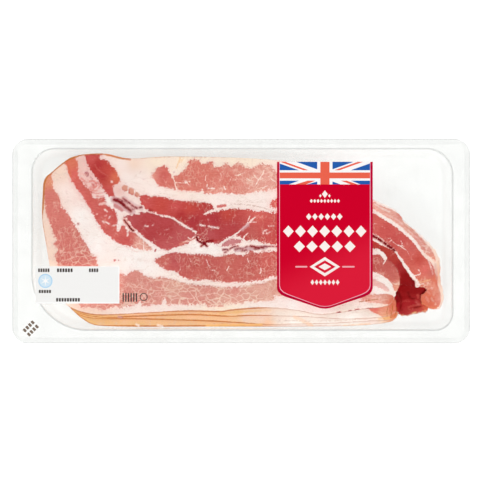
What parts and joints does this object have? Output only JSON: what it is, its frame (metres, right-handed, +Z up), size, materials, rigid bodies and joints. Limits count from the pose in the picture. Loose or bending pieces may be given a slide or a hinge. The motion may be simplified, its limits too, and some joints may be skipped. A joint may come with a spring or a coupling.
{
  "type": "bacon pack",
  "caption": "Flat sealed food pack: clear formed tray with a wide flange, clear lid film, a shingled stack of folded belly slices, a pennant-shaped front label and a date panel.",
  "frame": {"origin": "middle of the pack's outline, on the surface it lies on", "axes": "+X along the pack, from the peel corner's end to the fanned end; +Y across it, towards the label's square top; +Z up, out of the printed lid"},
  "size_m": [0.265, 0.1182, 0.0181],
  "materials": {
    "tray_plastic": "clear glossy thermoformed sheet",
    "lid_film": "clear glossy lid film",
    "cured_belly": "moist smoked streaky belly, red lean and cream fat",
    "front_label": "glossy printed red label",
    "date_panel": "satin pale panel"
  },
  "bodies": {
    "root": {"tray": "tray_plastic", "lid_film": "lid_film", "slice_1": "cured_belly", "slice_2": "cured_belly", "slice_3": "cured_belly", "slice_4": "cured_belly", "slice_5": "cured_belly", "slice_6": "cured_belly", "slice_7": "cured_belly", "slice_8": "cured_belly", "front_label": "front_label", "date_panel": "date_panel"}
  },
  "joints": []
}
